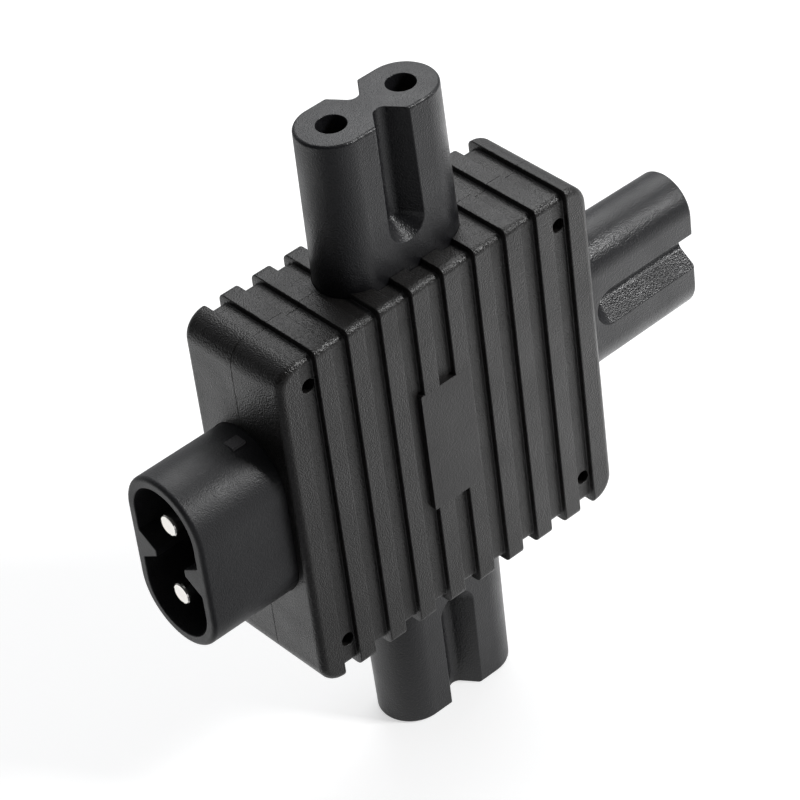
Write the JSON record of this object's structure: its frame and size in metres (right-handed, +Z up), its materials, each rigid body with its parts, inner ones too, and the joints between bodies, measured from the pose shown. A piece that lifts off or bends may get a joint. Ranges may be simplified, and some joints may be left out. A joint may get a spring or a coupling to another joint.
{
  "type": "power cord splitter",
  "caption": "Ribbed square block with a figure-8 pin inlet on one side and figure-8 outlet noses on its other sides.",
  "frame": {"origin": "centre of the lower outlet's end face, on which the splitter stands", "axes": "+Z up along the two outlets in line, -Y out of the ribbed front, -X out of the pin inlet"},
  "size_m": [0.0665, 0.0138, 0.0726],
  "materials": {
    "block_plastic": "fine spark-eroded grain, satin black",
    "connector_plastic": "smoother moulded black with a soft sheen",
    "inner_plastic": "natural moulded",
    "pin_nickel": "bright nickel plate",
    "contact_brass": "stamped brass"
  },
  "bodies": {
    "root": {"front_shell": "block_plastic", "rear_shell": "block_plastic", "inlet_shroud": "connector_plastic", "inlet_pin_upper": "pin_nickel", "inlet_pin_lower": "pin_nickel", "outlet_top": "connector_plastic", "outlet_right": "connector_plastic", "outlet_bottom": "connector_plastic", "sleeve_top_front": "contact_brass", "sleeve_top_rear": "contact_brass", "sleeve_right_front": "contact_brass", "sleeve_right_rear": "contact_brass", "sleeve_bottom_front": "contact_brass", "sleeve_bottom_rear": "contact_brass", "bus_strip_front": "contact_brass", "bus_strip_rear": "contact_brass", "insulating_plate": "inner_plastic"}
  },
  "joints": []
}
